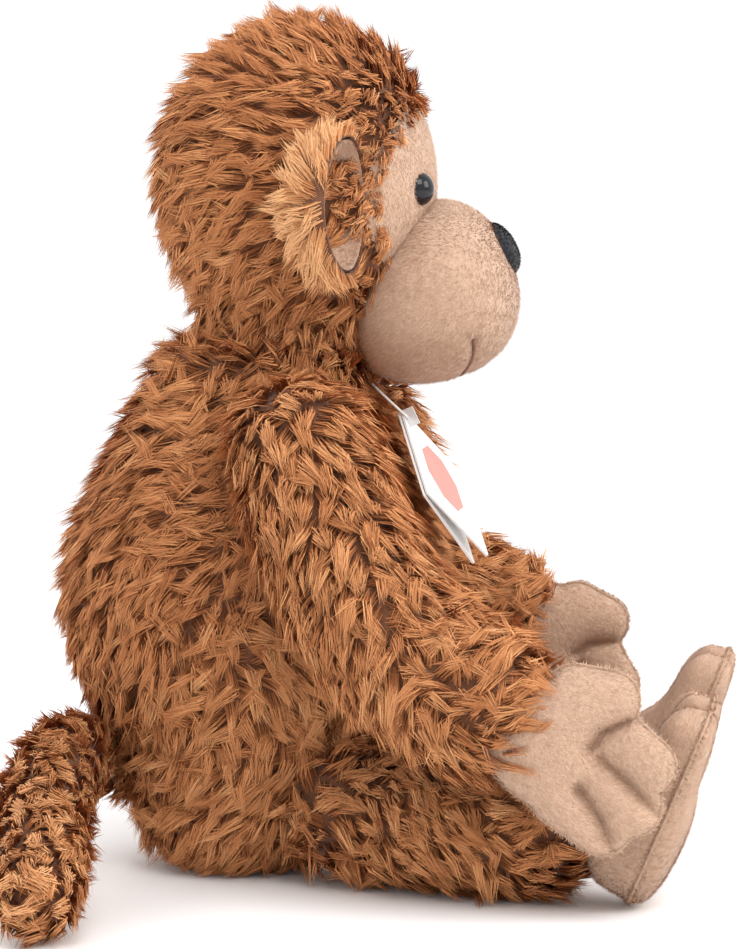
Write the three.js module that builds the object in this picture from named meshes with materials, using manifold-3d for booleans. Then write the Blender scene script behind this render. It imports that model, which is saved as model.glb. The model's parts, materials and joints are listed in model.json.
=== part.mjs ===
// Seated stuffed monkey with sewn plush covers, fibre filling, safety eyes and a hang tag.
// Millimetres, +Z up. The monkey faces -Y, so its right side is at -X.
import * as THREE from 'three';
import { mergeVertices } from 'three/addons/utils/BufferGeometryUtils.js';
import Module from 'manifold-3d';

const wasm = await Module();
wasm.setup();

// ---- driving dimensions -------------------------------------------------
const GAP = 0.4; // air left between neighbouring pieces
const JOINT_GAP = 1.4; // air around a ball in its socket, more because both are faceted
const CLOTH = 4; // thickness of a plush cover, pile base included
const SHIFT = new THREE.Vector3(22.82, 5.24, 0); // moves the finished toy over the middle of its own box

const TORSO = { // height, front, back, half width
  sections: [
    [0, 20, 70, 32], [12, 8, 78, 44], [36, -4, 85, 51], [62, -17, 98, 56], [92, -26, 109, 58],
    [122, -19, 104, 53], [150, -6, 88, 44], [170, 2, 75, 37], [184, 9, 66, 29],
  ],
  seam: 44, // where the front cover meets the back cover
};
const NECK = { y: 34, low: 158, nod: 198, radius: 19, ball: 23 };
const HEAD = { centre: [0, 26, 248], radii: [50, 51, 58], turn: 9 }; // degrees that the head looks to its left
const FACE = { height: 244, halfWidth: 38, halfHeight: 30 };
const MUZZLE = { centre: [0, -22, 206], radii: [36, 31, 31] };
const NOSE = { centre: [0, -48.5, 224], radii: [13, 8.5, 9.5] };
const MOUTH = { drop: 0.55, spread: 0.62, radius: 0.9, clear: 1.5 };
const EYE = { x: 21, z: 245, radius: 6, dome: 4.5, shank: 2, reach: 13 };
const WASHER = { radius: 7, thick: 1.6, depth: 8 };
const EAR = { centre: [60, 3, 239], radii: [20, 25, 25], plush: 4, lining: 2.4 };

const ARM = {
  shoulder: [60, 17, 157], shoulderBall: 26, upper: 26.5, elbowBall: 24, fore: 25.5, wristBall: 18,
  right: { elbow: [84, -17, 97], wrist: [101, -71, 65], pitch: 29 },
  left: { elbow: [88, -4, 98], wrist: [98, -50, 74], pitch: 48 },
};
const HAND = {
  palm: [[0, -8, 0], [0, -24, 0]], palmRadius: 21, flat: 0.62,
  fingers: [13, 0, -13], fingerBase: -20, fingerTip: -37, fingerRadius: 10.5, fan: 1.2,
  thumb: [[0, -8, 13], [0, -17, 22]], thumbRadius: 10,
};
const LEG = {
  hip: [40, 2, 28], hipBall: 25, thigh: 25.5, knee: [52, -38, 27.5], kneeBall: 23,
  shin: 24.5, ankle: [60, -84, 26], ankleBall: 18,
};
const FOOT = {
  heel: [61, -98, 21], ball: [63, -109, 44], radius: 25, flat: 0.7,
  toes: [-14.5, 0, 14.5], toeTip: [64, -116, 57], toeRadius: 9.5, seam: -0.5,
};
const TAIL = {
  root: [-4, 91, 34], rootBall: 12, base: [[-4, 91, 34], [-21, 102, 41], [-44, 103, 45], [-58, 100, 44]],
  baseRadius: 14, midBall: 13.5, tip: [[-58, 100, 44], [-84, 97, 38], [-116, 93, 26], [-147, 85, 18.5]],
  tipRadius: 17,
};
const TAG = {
  corner: [0, -9, 165], foot: [0, -36.5, 109], side: 44, leaf: 0.8, hole: 1.6, spread: 6, tab: [7, 1.2, 16],
};

const PLUSH = { color: 0x94592f, roughness: 0.95, metalness: 0 };
const VELBOA = { color: 0xcfa57f, roughness: 0.9, metalness: 0 };
const FIBRE = { color: 0xf1efe9, roughness: 1, metalness: 0 };
const BLACK = { color: 0x0c0b0d, roughness: 0.15, metalness: 0 };
const VELOUR = { color: 0x17161a, roughness: 0.8, metalness: 0 };
const THREAD = { color: 0x6b4632, roughness: 0.8, metalness: 0 };
const WASHER_LOOK = { color: 0xe4e4df, roughness: 0.5, metalness: 0 };
const CARD = { color: 0xf6f4f0, roughness: 0.45, metalness: 0 };
const TAPE = { color: 0xf0efec, roughness: 0.5, metalness: 0 };

// ---- helpers ------------------------------------------------------------
const vec = (p) => new THREE.Vector3(...p);
const LATERAL = new THREE.Vector3(1, 0, 0);

// A closed solid that booleans can work on, from any three.js geometry.
function solid(geometry) {
  const bare = new THREE.BufferGeometry();
  bare.setAttribute('position', geometry.getAttribute('position').clone());
  if (geometry.index) bare.setIndex(geometry.index.clone());
  const merged = mergeVertices(bare, 1e-3);
  const corners = merged.index.array;
  const kept = [];
  for (let i = 0; i < corners.length; i += 3) {
    const [a, b, c] = [corners[i], corners[i + 1], corners[i + 2]];
    if (a !== b && b !== c && c !== a) kept.push(a, b, c);
  }
  const mesh = new wasm.Mesh({
    numProp: 3,
    vertProperties: new Float32Array(merged.getAttribute('position').array),
    triVerts: new Uint32Array(kept),
  });
  mesh.merge();
  return new wasm.Manifold(mesh);
}

function geometryOf(manifold) {
  const mesh = manifold.getMesh();
  const geometry = new THREE.BufferGeometry();
  const count = mesh.vertProperties.length / mesh.numProp;
  const places = new Float32Array(count * 3);
  for (let i = 0; i < count; i += 1) {
    for (let k = 0; k < 3; k += 1) places[3 * i + k] = mesh.vertProperties[mesh.numProp * i + k];
  }
  geometry.setAttribute('position', new THREE.BufferAttribute(places, 3));
  geometry.setIndex(new THREE.BufferAttribute(new Uint32Array(mesh.triVerts), 1));
  return geometry;
}

function ellipsoid(centre, radii, around = 24, down = 16) {
  const g = new THREE.SphereGeometry(1, around, down);
  g.rotateX(Math.PI / 2);
  g.scale(...radii);
  g.translate(...centre);
  return solid(g);
}

const ball = (centre, radius) => ellipsoid(centre, [radius, radius, radius], 16, 10);

function box(low, high) {
  const size = high.map((h, i) => h - low[i]);
  const g = new THREE.BoxGeometry(...size);
  g.translate(...low.map((l, i) => l + size[i] / 2));
  return solid(g);
}

// Everything on one side of a plane that passes through a point.
function halfSpace(point, normal) {
  const g = new THREE.BoxGeometry(900, 900, 900);
  g.translate(0, 0, 450);
  g.applyQuaternion(new THREE.Quaternion().setFromUnitVectors(new THREE.Vector3(0, 0, 1), vec(normal).normalize()));
  g.translate(...point);
  return solid(g);
}

function between(table, s) {
  for (let i = 1; i < table.length; i += 1) {
    if (s <= table[i][0]) {
      const [a, b] = [table[i - 1], table[i]];
      return THREE.MathUtils.lerp(a[1], b[1], (s - a[0]) / Math.max(b[0] - a[0], 1e-6));
    }
  }
  return table[table.length - 1][1];
}

// A round-ended tube along a smooth path. The table gives its radius by distance along the path.
function tube(points, table, { flat = 1, ring = 12, steps = 6, ends = 2, side = LATERAL } = {}) {
  const path = new THREE.CatmullRomCurve3(points.map(vec), false, 'centripetal');
  const length = path.getLength();
  const g = new THREE.CapsuleGeometry(1, 2, ends, ring, steps);
  const place = g.getAttribute('position');
  for (let i = 0; i < place.count; i += 1) {
    const [x, y, z] = [place.getX(i), place.getY(i), place.getZ(i)];
    const t = THREE.MathUtils.clamp((y + 1) / 2, 0, 1);
    const past = y - (2 * t - 1);
    const radius = between(table, t * length);
    const along = path.getTangentAt(t);
    const across = side.clone().addScaledVector(along, -side.dot(along)).normalize();
    const over = new THREE.Vector3().crossVectors(along, across);
    const p = path.getPointAt(t);
    p.addScaledVector(across, x * radius * flat);
    p.addScaledVector(over, z * radius);
    p.addScaledVector(along, past * radius);
    place.setXYZ(i, p.x, p.y, p.z);
  }
  const made = solid(g);
  return made.volume() < 0 ? solid(flipped(g)) : made;
}

function flipped(g) {
  const corners = g.index.array;
  for (let i = 0; i < corners.length; i += 3) [corners[i], corners[i + 1]] = [corners[i + 1], corners[i]];
  return g;
}

// One length of a limb: a ball at its near end, a waist, a belly, and a dished far end.
function limb(points, near, belly, far) {
  const length = new THREE.CatmullRomCurve3(points.map(vec), false, 'centripetal').getLength();
  const table = [
    [0, near], [0.5 * near, 0.88 * near], [1.25 * near, belly],
    [length - 1.25 * far, belly], [length - 0.5 * far, 0.88 * far], [length, 0.6 * far],
  ];
  return tube(points, table).subtract(ball(points[points.length - 1], far + JOINT_GAP));
}

const mirrored = (p, s) => [p[0] * s, p[1], p[2]];
const middle = (a, b, bulge = [0, 0, 0]) => a.map((v, i) => (v + b[i]) / 2 + bulge[i]);

// A piece of the head, looking the way the head looks.
const addToHead = (name, manifold, look) => add(name, manifold, look, HEAD.turn);

const group = new THREE.Group();
group.name = 'stuffed_monkey';

function add(name, manifold, look, turn = 0) {
  const geometry = geometryOf(manifold);
  geometry.translate(0, -NECK.y, 0);
  geometry.rotateZ(THREE.MathUtils.degToRad(turn));
  geometry.translate(SHIFT.x, SHIFT.y + NECK.y, SHIFT.z);
  geometry.computeVertexNormals();
  const mesh = new THREE.Mesh(geometry, new THREE.MeshStandardMaterial(look));
  mesh.name = name;
  group.add(mesh);
}

// ---- torso: two sewn covers round one filling ---------------------------
// The pear-shaped body, drawn in by an even amount when the inner surfaces are wanted.
function torsoBody(inset) {
  const levels = TORSO.sections.map((s) => s[0]);
  const top = levels[levels.length - 1] - inset;
  const g = new THREE.CylinderGeometry(1, 1, 1, 18, 9);
  g.rotateX(Math.PI / 2);
  const place = g.getAttribute('position');
  for (let i = 0; i < place.count; i += 1) {
    const z = THREE.MathUtils.lerp(inset, top, place.getZ(i) + 0.5);
    const [front, back, half] = [1, 2, 3].map((k) => between(TORSO.sections.map((s) => [s[0], s[k]]), z));
    place.setXYZ(
      i,
      place.getX(i) * (half - inset),
      (front + back) / 2 + place.getY(i) * ((back - front) / 2 - inset),
      z,
    );
  }
  return solid(g);
}

const neckBore = tube(
  [[0, NECK.y, NECK.low], [0, NECK.y, NECK.nod + 30]],
  [[0, NECK.radius + JOINT_GAP], [99, NECK.radius + JOINT_GAP]],
);
let sockets = neckBore;
for (const s of [-1, 1]) {
  sockets = sockets.add(ball(mirrored(ARM.shoulder, s), ARM.shoulderBall + JOINT_GAP));
  sockets = sockets.add(ball(mirrored(LEG.hip, s), LEG.hipBall + JOINT_GAP));
}
sockets = sockets.add(ball(TAIL.root, TAIL.rootBall + JOINT_GAP));

const torsoShell = torsoBody(0).subtract(torsoBody(CLOTH)).subtract(sockets);
add('torso_front_plush', torsoShell.intersect(halfSpace([0, TORSO.seam - GAP / 2, 0], [0, -1, 0])), PLUSH);
add('torso_back_plush', torsoShell.intersect(halfSpace([0, TORSO.seam + GAP / 2, 0], [0, 1, 0])), PLUSH);
add('torso_stuffing', torsoBody(CLOTH + GAP).subtract(sockets), FIBRE);

// ---- neck: a short padded stalk that turns in the torso and carries the head
const stalk = NECK.nod - NECK.low;
add('neck_plush', tube(
  [[0, NECK.y, NECK.low], [0, NECK.y, NECK.nod]],
  [[0, NECK.radius], [stalk * 0.6, NECK.radius], [stalk, NECK.ball]],
), PLUSH);

// ---- head ---------------------------------------------------------------
const grown = (radii, d) => radii.map((r) => r + d);
const headOuter = ellipsoid(HEAD.centre, HEAD.radii, 18, 12);
const headInner = ellipsoid(HEAD.centre, grown(HEAD.radii, -CLOTH), 18, 12);
const headFilling = ellipsoid(HEAD.centre, grown(HEAD.radii, -CLOTH - GAP), 18, 12);
const headClear = ellipsoid(HEAD.centre, grown(HEAD.radii, 1.2), 18, 12);
const neckSocket = ball([0, NECK.y, NECK.nod], NECK.ball + JOINT_GAP).add(neckBore);

// The oval on the front of the head that is filled by the smooth face panel.
function faceOval(d) {
  const g = new THREE.CylinderGeometry(1, 1, 120, 20, 1);
  g.scale(FACE.halfWidth + d, 1, FACE.halfHeight + d);
  g.translate(0, -60, FACE.height);
  return solid(g);
}

// The way an eye points: straight out of the head where it sits.
function eyeFrame(s) {
  const [x, z] = [EYE.x * s, EYE.z];
  const [cx, cy, cz] = HEAD.centre;
  const [rx, ry, rz] = HEAD.radii;
  const y = cy - ry * Math.sqrt(1 - ((x - cx) / rx) ** 2 - ((z - cz) / rz) ** 2);
  const normal = new THREE.Vector3((x - cx) / rx ** 2, (y - cy) / ry ** 2, (z - cz) / rz ** 2).normalize();
  return { at: new THREE.Vector3(x, y, z), turn: new THREE.Quaternion().setFromUnitVectors(new THREE.Vector3(0, 1, 0), normal) };
}

// A turned shape, its axis along an eye's own direction. Height 0 is the surface of the face.
function turned(profile, { at, turn }, around = 12) {
  const g = new THREE.LatheGeometry(profile.map(([r, h]) => new THREE.Vector2(r, h)), around);
  g.applyQuaternion(turn);
  g.translate(at.x, at.y, at.z);
  const made = solid(g);
  return made.volume() < 0 ? solid(flipped(g)) : made;
}

const shell = headOuter.subtract(headInner).subtract(neckSocket);
let facePanel = shell.intersect(faceOval(-GAP));
let filling = headFilling.subtract(neckSocket);
for (const s of [-1, 1]) {
  const name = s < 0 ? 'right' : 'left';
  const frame = eyeFrame(s);
  const seat = 1.4; // the flat back of the eye stands this far off the curved face
  const hole = EYE.shank + 0.6;
  const pocket = WASHER.radius + 0.6;
  const deep = -EYE.reach - 1;
  const floor = -WASHER.depth - WASHER.thick - 0.6;
  facePanel = facePanel.subtract(turned([[0, -20], [hole, -20], [hole, 8], [0, 8]], frame));
  filling = filling.subtract(turned([[0, floor], [pocket, floor], [pocket, 8], [0, 8]], frame));
  filling = filling.subtract(turned([[0, deep], [hole, deep], [hole, 8], [0, 8]], frame));
  const dome = [0, 0.25, 0.5, 0.75, 1].map((t) => {
    const angle = (t * Math.PI) / 2;
    return [EYE.radius * Math.cos(angle), seat + 0.8 + EYE.dome * Math.sin(angle)];
  });
  addToHead(`eye_${name}`, turned(
    [[0, -EYE.reach], [EYE.shank, -EYE.reach], [EYE.shank, seat], [EYE.radius, seat], ...dome.slice(0, -1), [0, seat + 0.8 + EYE.dome]],
    frame,
  ), BLACK);
  const bore = EYE.shank + 0.35;
  const [low, high] = [-WASHER.depth - WASHER.thick, -WASHER.depth];
  const disc = turned([[0, low], [WASHER.radius, low], [WASHER.radius, high], [0, high]], frame, 14);
  addToHead(`eye_washer_${name}`, disc.subtract(turned([[0, low - 3], [bore, low - 3], [bore, high + 3], [0, high + 3]], frame)), WASHER_LOOK);
}
const hood = shell.subtract(faceOval(0));
addToHead('head_right_plush', hood.intersect(halfSpace([-GAP / 2, 0, 0], [-1, 0, 0])), PLUSH);
addToHead('head_left_plush', hood.intersect(halfSpace([GAP / 2, 0, 0], [1, 0, 0])), PLUSH);
addToHead('head_stuffing', filling, FIBRE);

const muzzleOuter = ellipsoid(MUZZLE.centre, MUZZLE.radii, 16, 11);
const muzzleShell = muzzleOuter.subtract(ellipsoid(MUZZLE.centre, grown(MUZZLE.radii, -CLOTH + 1), 16, 11));
const behindEyes = turned([[0, -1], [8, -1], [8, 12], [0, 12]], eyeFrame(-1))
  .add(turned([[0, -1], [8, -1], [8, 12], [0, 12]], eyeFrame(1)));
const headGap = ellipsoid(HEAD.centre, grown(HEAD.radii, 0.6), 18, 12);
addToHead('face_panel', facePanel, VELBOA);
addToHead('muzzle_plush', muzzleShell.subtract(headGap).subtract(behindEyes), VELBOA);
addToHead('muzzle_stuffing', ellipsoid(MUZZLE.centre, grown(MUZZLE.radii, -CLOTH + 1 - GAP), 16, 11)
  .subtract(headGap).subtract(behindEyes), FIBRE);
addToHead('nose_pad', ellipsoid(NOSE.centre, NOSE.radii, 14, 9)
  .subtract(ellipsoid(MUZZLE.centre, grown(MUZZLE.radii, GAP), 16, 11)), VELOUR);

// The mouth: one line of thread that smiles across the lower front of the muzzle.
const smile = [-1, -0.66, -0.33, 0, 0.33, 0.66, 1].map((t) => {
  const across = t * MOUTH.spread * Math.PI * 0.5;
  const down = -MOUTH.drop + 0.28 * t * t;
  const out = grown(MUZZLE.radii, MOUTH.clear);
  return [
    MUZZLE.centre[0] + out[0] * Math.sin(across) * Math.cos(down),
    MUZZLE.centre[1] - out[1] * Math.cos(across) * Math.cos(down),
    MUZZLE.centre[2] + out[2] * Math.sin(down),
  ];
});
addToHead('mouth_stitch', tube(smile, [[0, MOUTH.radius], [200, MOUTH.radius]], { ring: 6, steps: 10, ends: 1, side: new THREE.Vector3(0, 0, 1) }), THREAD);

// ---- ears: a cupped plush back with a thin smooth lining ----------------
for (const s of [-1, 1]) {
  const name = s < 0 ? 'right' : 'left';
  const centre = mirrored(EAR.centre, s);
  const layers = [0, -EAR.plush, -EAR.plush - GAP, -EAR.plush - GAP - EAR.lining]
    .map((d) => ellipsoid(centre, grown(EAR.radii, d), 14, 9));
  const back = halfSpace(centre, [s * -0.25, 1, 0]);
  const keep = (m) => m.intersect(back).subtract(headClear);
  addToHead(`ear_${name}_plush`, keep(layers[0].subtract(layers[1])), PLUSH);
  addToHead(`ear_${name}_lining`, keep(layers[2].subtract(layers[3])), VELBOA);
}

// ---- arms and hands -----------------------------------------------------
function place(points, side, pitch, at) {
  const turn = new THREE.Matrix4().makeRotationX(THREE.MathUtils.degToRad(pitch));
  return points.map((p) => vec(p).applyMatrix4(turn).add(vec(at))).map((p) => [p.x, p.y, p.z]);
}

for (const s of [-1, 1]) {
  const name = s < 0 ? 'right' : 'left';
  const own = ARM[name];
  const [shoulder, elbow, wrist] = [ARM.shoulder, own.elbow, own.wrist].map((p) => mirrored(p, s));
  add(`upper_arm_${name}`, limb(
    [shoulder, middle(shoulder, elbow, [s * 2, 0, -1]), elbow], ARM.shoulderBall, ARM.upper, ARM.elbowBall,
  ), PLUSH);
  add(`forearm_${name}`, limb(
    [elbow, middle(elbow, wrist, [0, 2, -2]), wrist], ARM.elbowBall, ARM.fore, ARM.wristBall,
  ), PLUSH);
  const at = (points) => place(points, s, own.pitch, wrist);
  const reach = { flat: HAND.flat, ring: 12, steps: 2 };
  let hand = ball(wrist, ARM.wristBall);
  hand = hand.add(tube(at(HAND.palm), [[0, HAND.palmRadius], [99, HAND.palmRadius]], reach));
  for (const rise of HAND.fingers) {
    const ends = at([[0, HAND.fingerBase, rise], [0, HAND.fingerTip, rise * HAND.fan]]);
    hand = hand.add(tube(ends, [[0, HAND.fingerRadius], [99, HAND.fingerRadius]], { ring: 8, steps: 1 }));
  }
  hand = hand.add(tube(at(HAND.thumb), [[0, HAND.thumbRadius], [99, HAND.thumbRadius]], { ring: 8, steps: 1 }));
  const outward = halfSpace([wrist[0] + s * GAP / 2, 0, 0], [s, 0, 0]);
  const inward = halfSpace([wrist[0] - s * GAP / 2, 0, 0], [-s, 0, 0]);
  add(`hand_${name}_back`, hand.intersect(outward), VELBOA);
  add(`hand_${name}_palm`, hand.intersect(inward), VELBOA);
}

// ---- legs and feet ------------------------------------------------------
for (const s of [-1, 1]) {
  const name = s < 0 ? 'right' : 'left';
  const [hip, knee, ankle] = [LEG.hip, LEG.knee, LEG.ankle].map((p) => mirrored(p, s));
  add(`thigh_${name}`, limb([hip, middle(hip, knee), knee], LEG.hipBall, LEG.thigh, LEG.kneeBall), PLUSH);
  add(`shin_${name}`, limb([knee, middle(knee, ankle), ankle], LEG.kneeBall, LEG.shin, LEG.ankleBall), PLUSH);
  const [heel, sole, tip] = [FOOT.heel, FOOT.ball, FOOT.toeTip].map((p) => mirrored(p, s));
  let foot = ball(ankle, LEG.ankleBall);
  foot = foot.add(tube([heel, sole], [[0, FOOT.radius * 0.8], [99, FOOT.radius * 0.8]], { ring: 12, steps: 2, flat: 1.15 }));
  for (const out of FOOT.toes) {
    foot = foot.add(tube(
      [[sole[0] + out * 0.85, sole[1], sole[2] - 6], [tip[0] + out, tip[1], tip[2]]],
      [[0, FOOT.toeRadius], [99, FOOT.toeRadius]], { ring: 8, steps: 1 },
    ));
  }
  const along = new THREE.Vector3(0, sole[1] - heel[1], sole[2] - heel[2]).normalize();
  const face = [0, -along.z, along.y];
  const seam = middle(heel, sole);
  const off = (d) => [seam[0], seam[1] + face[1] * d, seam[2] + face[2] * d];
  add(`foot_${name}_sole`, foot.intersect(halfSpace(off(5 + GAP / 2), face)), VELBOA);
  add(`foot_${name}_instep`, foot.intersect(halfSpace(off(5 - GAP / 2), face.map((v) => -v))), VELBOA);
}

// ---- tail ---------------------------------------------------------------
const UP = new THREE.Vector3(0, 0, 1);
const tailLength = new THREE.CatmullRomCurve3(TAIL.base.map(vec), false, 'centripetal').getLength();
add('tail_base', tube(TAIL.base, [
  [0, TAIL.rootBall], [7, TAIL.rootBall * 0.85], [18, TAIL.baseRadius],
  [tailLength - 18, TAIL.baseRadius], [tailLength - 7, TAIL.midBall * 0.85], [tailLength, TAIL.midBall * 0.6],
], { side: UP }).subtract(ball(TAIL.base[3], TAIL.midBall + JOINT_GAP)), PLUSH);
add('tail_tip', tube(TAIL.tip, [
  [0, TAIL.midBall], [7, TAIL.midBall * 0.85], [18, TAIL.tipRadius], [99, TAIL.tipRadius],
], { side: UP }), PLUSH);

// ---- hang tag: a folded card of two square leaves, hung by one corner ---
const hang = new THREE.Vector3().subVectors(vec(TAG.foot), vec(TAG.corner)).normalize();
const outOf = new THREE.Vector3().crossVectors(hang, LATERAL).normalize();
if (outOf.y > 0) outOf.negate();

// One leaf lies in the plane of X and the hanging direction, turned to stand on its corner.
function leaf(lift, open) {
  const half = TAG.side / 2;
  const shape = new THREE.Shape();
  shape.moveTo(-half, -half).lineTo(half, -half).lineTo(half, half).lineTo(-half, half).closePath();
  const hole = new THREE.Path().absarc(half - 4, half - 4, TAG.hole, 0, Math.PI * 2, true);
  shape.holes.push(hole);
  const g = new THREE.ExtrudeGeometry(shape, { depth: TAG.leaf, bevelEnabled: false, curveSegments: 8 });
  g.translate(0, -half, 0);
  g.rotateX(-open);
  g.translate(0, half, 0);
  g.rotateZ(Math.PI / 4);
  g.translate(0, -half * Math.SQRT2, lift);
  const basis = new THREE.Matrix4().makeBasis(LATERAL, hang.clone().negate(), outOf);
  if (basis.determinant() < 0) basis.makeBasis(LATERAL.clone().negate(), hang.clone().negate(), outOf);
  g.applyMatrix4(basis);
  g.translate(...TAG.corner);
  return solid(g);
}
add('tag_back_leaf', leaf(0, 0), CARD);
add('tag_front_leaf', leaf(TAG.leaf + GAP, THREE.MathUtils.degToRad(TAG.spread)), CARD);

// The little woven tape that holds the tag by its hole to the seam below the chin.
const tabPath = [[0, 0], [0, 1]].map(([x, t]) => [x, TAG.corner[1] + 2.5 + 4 * t, TAG.corner[2] + 3.4 + 4 * t]);
add('tag_tape', tube(tabPath, [[0, 2.6], [99, 2.6]], { flat: 1, ring: 8, steps: 1, ends: 2 }), TAPE);

export default group;
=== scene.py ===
import json
import math

import bpy
import numpy as np
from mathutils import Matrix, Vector
from mathutils.kdtree import KDTree


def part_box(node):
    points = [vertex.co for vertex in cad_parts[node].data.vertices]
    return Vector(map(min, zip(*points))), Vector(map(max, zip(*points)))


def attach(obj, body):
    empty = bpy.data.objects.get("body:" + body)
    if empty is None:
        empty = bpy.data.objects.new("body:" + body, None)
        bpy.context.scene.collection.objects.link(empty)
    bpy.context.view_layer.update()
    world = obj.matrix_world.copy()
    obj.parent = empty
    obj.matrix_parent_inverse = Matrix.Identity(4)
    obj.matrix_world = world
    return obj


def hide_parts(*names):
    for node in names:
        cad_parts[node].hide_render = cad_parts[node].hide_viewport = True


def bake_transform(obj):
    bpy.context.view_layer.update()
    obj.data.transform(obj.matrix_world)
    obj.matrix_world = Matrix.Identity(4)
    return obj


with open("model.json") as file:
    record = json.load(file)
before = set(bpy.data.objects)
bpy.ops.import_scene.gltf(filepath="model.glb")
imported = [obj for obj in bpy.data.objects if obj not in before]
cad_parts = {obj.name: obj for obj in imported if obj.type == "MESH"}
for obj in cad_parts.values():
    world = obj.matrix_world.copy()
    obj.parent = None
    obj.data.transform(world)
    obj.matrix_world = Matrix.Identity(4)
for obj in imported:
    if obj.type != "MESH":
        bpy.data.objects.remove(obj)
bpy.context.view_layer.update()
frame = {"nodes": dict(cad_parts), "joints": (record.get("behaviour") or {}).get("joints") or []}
MM = 0.001
PIVOT = {j["name"]: np.array(j["pos_m"]) for j in frame["joints"]}
SIDES = {"right": -1.0, "left": 1.0}

# ---- Camera -------------------------------------------------------------
# A level look at the toy's right side from a little in front, a good metre away.
VIEW_TURN = math.radians(9.0)
VIEW_RISE = math.radians(4.5)
VIEW_DISTANCE = 1.1
NECK_BACK = 34 * MM  # how far the neck stands behind the toy's own middle line
toy_middle = Vector((PIVOT["neck_turn"][0], PIVOT["neck_turn"][1] - NECK_BACK, 142 * MM))
towards_camera = Vector((
    -math.cos(VIEW_TURN) * math.cos(VIEW_RISE),
    -math.sin(VIEW_TURN) * math.cos(VIEW_RISE),
    math.sin(VIEW_RISE),
))
camera = bpy.data.objects.new("camera", bpy.data.cameras.new("camera"))
camera.data.lens = 114.8
camera.location = toy_middle + towards_camera * VIEW_DISTANCE
camera.rotation_mode = "QUATERNION"
camera.rotation_quaternion = towards_camera.to_track_quat("Z", "Y")
bpy.context.scene.collection.objects.link(camera)
bpy.context.scene.camera = camera


# ---- Studio -------------------------------------------------------------
# A pale floor under the toy, a white surround, and three broad soft lamps.
# The lamps stand at its right side, in front of it and behind it.
class Wire:
    """A shader socket that can be added, subtracted and multiplied like a number."""

    def __init__(self, tree, socket):
        self.tree = tree
        self.socket = socket

    def node(self, kind, settings=None, output=0, **inputs):
        made = self.tree.nodes.new(kind)
        for key, value in (settings or {}).items():
            setattr(made, key, value)
        for key, value in inputs.items():
            slot = made.inputs[int(key[1:])] if key[1:].isdigit() else made.inputs[key.replace("_", " ")]
            if isinstance(value, Wire):
                self.tree.links.new(value.socket, slot)
            else:
                slot.default_value = value
        return Wire(self.tree, made.outputs[output])

    def maths(self, operation, other=0.0, flip=False):
        pair = {"i0": other, "i1": self} if flip else {"i0": self, "i1": other}
        return self.node("ShaderNodeMath", {"operation": operation}, **pair)

    def __add__(self, other):
        return self.maths("ADD", other)

    __radd__ = __add__

    def __mul__(self, other):
        return self.maths("MULTIPLY", other)

    __rmul__ = __mul__

    def __sub__(self, other):
        return self.maths("SUBTRACT", other)

    def __rsub__(self, other):
        return self.maths("SUBTRACT", other, flip=True)

    def mixed(self, low, high):
        """Low where this wire is 0 and high where it is 1, as colours."""
        made = self.tree.nodes.new("ShaderNodeMix")
        made.data_type = "RGBA"
        self.tree.links.new(self.socket, made.inputs[0])
        for slot, value in ((made.inputs[6], low), (made.inputs[7], high)):
            if isinstance(value, Wire):
                self.tree.links.new(value.socket, slot)
            else:
                slot.default_value = (*value, 1.0)
        return Wire(self.tree, made.outputs[2])


def material(name, paint=None, **surface):
    """A Principled material. paint(place) may return sockets that vary over the surface."""
    made = bpy.data.materials.new(name)
    made.use_nodes = True
    tree = made.node_tree
    shader = next(n for n in tree.nodes if n.type == "BSDF_PRINCIPLED")
    for key, value in surface.items():
        shader.inputs[key.replace("_", " ")].default_value = value
    if paint:
        place = Wire(tree, tree.nodes.new("ShaderNodeTexCoord").outputs["Object"])
        for key, wire in paint(place).items():
            tree.links.new(wire.socket, shader.inputs[key.replace("_", " ")])
    return made


def noise(place, scale, detail=3.0, rough=0.55, distort=0.0):
    kind = "ShaderNodeTexNoise"
    return place.node(kind, Vector=place, Scale=scale, Detail=detail, Roughness=rough, Distortion=distort)


def bump(height, strength, distance):
    return height.node("ShaderNodeBump", Height=height, Strength=strength, Distance=distance)


def sweep_paint(place):
    shade = noise(place, 3.0)
    return {"Base_Color": shade.mixed((0.95, 0.95, 0.95), (0.98, 0.98, 0.98))}


def mesh_object(name, places, faces, materials, smooth=True):
    mesh = bpy.data.meshes.new(name)
    mesh.from_pydata(np.asarray(places, float).tolist(), [], [list(map(int, f)) for f in faces])
    for m in materials:
        mesh.materials.append(m)
    mesh.polygons.foreach_set("use_smooth", [smooth] * len(mesh.polygons))
    made = bpy.data.objects.new(name, mesh)
    bpy.context.scene.collection.objects.link(made)
    return made


sweep = mesh_object(
    "studio_floor",
    [(-6, -6, 0), (6, -6, 0), (6, 6, 0), (-6, 6, 0)],
    [(0, 1, 2, 3)],
    [material("floor_paint", sweep_paint, Roughness=0.9)],
)
world = bpy.data.worlds.new("studio")
world.use_nodes = True
world.node_tree.nodes["Background"].inputs["Color"].default_value = (1, 1, 1, 1)
world.node_tree.nodes["Background"].inputs["Strength"].default_value = 1.12
bpy.context.scene.world = world
bpy.context.scene.view_settings.view_transform = "Standard"

LAMPS = {  # place from the toy's middle, power, size
    "key": ((-0.9, -0.5, 1.2), 13.0, 0.9),
    "front": ((-0.2, -1.3, 0.7), 9.0, 0.8),
    "back": ((0.3, 1.2, 0.9), 6.0, 0.8),
}
for name, (offset, power, size) in LAMPS.items():
    lamp = bpy.data.objects.new(name + "_lamp", bpy.data.lights.new(name, "AREA"))
    lamp.data.energy = power
    lamp.data.size = size
    lamp.location = toy_middle + Vector(offset)
    lamp.rotation_mode = "QUATERNION"
    lamp.rotation_quaternion = Vector(offset).to_track_quat("Z", "Y")
    bpy.context.scene.collection.objects.link(lamp)

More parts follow.
